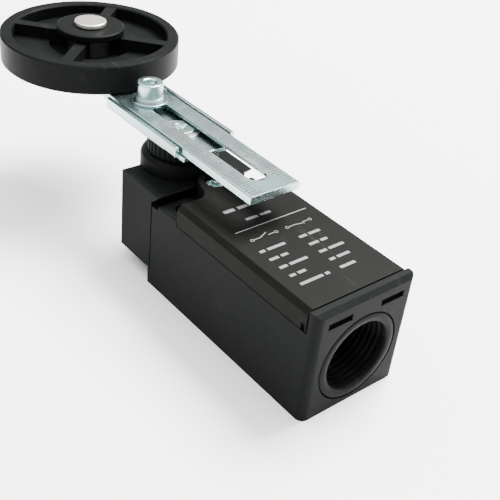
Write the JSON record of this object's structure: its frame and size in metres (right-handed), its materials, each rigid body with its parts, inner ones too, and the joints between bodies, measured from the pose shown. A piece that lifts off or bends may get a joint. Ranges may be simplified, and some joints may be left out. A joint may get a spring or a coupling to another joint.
{
  "type": "limit switch",
  "caption": "Side-rotary limit switch in a slim plastic case with a length-adjustable lever, a large roller, a front cover and a threaded conduit entry.",
  "frame": {"origin": "midway between the two fixing holes, on the mounting face", "axes": "+X across the case, +Y from the conduit end towards the head and roller, +Z out of the mounting face towards the cover"},
  "size_m": [0.05, 0.1413, 0.0509],
  "materials": {
    "case_plastic": "fine moulded texture, satin black",
    "cover_plastic": "smooth moulded black with light grey print",
    "roller_plastic": "satin moulded black",
    "seal_rubber": "soft black",
    "inner_plastic": "moulded cream",
    "zinc_steel": "bright blue-white zinc plate",
    "bright_steel": "ground steel",
    "brass": "stamped brass"
  },
  "bodies": {
    "switch": {"case": "case_plastic", "conduit_sleeve": "case_plastic", "cover": "cover_plastic", "cover_gasket": "seal_rubber", "cover_screw": "zinc_steel", "head": "case_plastic", "head_gasket": "seal_rubber", "head_inserts": "brass", "head_screws": "zinc_steel", "contact_block": "inner_plastic", "contact_lid": "inner_plastic", "block_screws": "zinc_steel", "no_contact_strips": "brass", "nc_contact_strips": "brass", "terminal_screws": "zinc_steel", "terminal_clamps": "zinc_steel", "shaft_bush": "brass", "shaft_seal": "seal_rubber", "return_spring": "bright_steel"},
    "plunger_set": {"plunger": "inner_plastic", "plunger_spring": "bright_steel", "contact_carrier": "inner_plastic", "contact_bridge": "brass", "bridge_spring": "bright_steel"},
    "lever": {"shaft": "bright_steel", "cam": "bright_steel", "retaining_ring": "bright_steel", "lever_hub": "case_plastic", "lever_channel": "zinc_steel", "hub_washer": "bright_steel", "shaft_screw": "zinc_steel", "clamp_screw": "zinc_steel", "clamp_spring_washer": "bright_steel", "clamp_washer": "zinc_steel", "clamp_nut": "zinc_steel"},
    "slide_arm": {"scale_plate": "zinc_steel", "roller_axle": "bright_steel", "roller_washer": "bright_steel"},
    "roller_wheel": {"roller": "roller_plastic", "roller_bush": "bright_steel", "roller_cap": "roller_plastic"}
  },
  "joints": [
    {"name": "lever_swing", "type": "hinge", "parent": "switch", "child": "lever", "pos_m": [0, 0.0165, 0.03], "axis": [0, 0, 1], "range_deg": [-75, 75], "stiffness_Nm_per_rad": 0.12},
    {"name": "length_adjust", "type": "slide", "parent": "lever", "child": "slide_arm", "axis": [0, 1, 0], "range_m": [0, 0.03]},
    {"name": "roller_spin", "type": "hinge", "parent": "slide_arm", "child": "roller_wheel", "pos_m": [0, 0.0618, 0.044], "axis": [0, 0, 1], "continuous": true},
    {"name": "plunger_travel", "type": "slide", "parent": "switch", "child": "plunger_set", "axis": [0, -1, 0], "range_m": [0, 0.002], "stiffness_N_per_m": 1200, "springref_m": -0.0015, "deforming": ["plunger_spring"]}
  ]
}
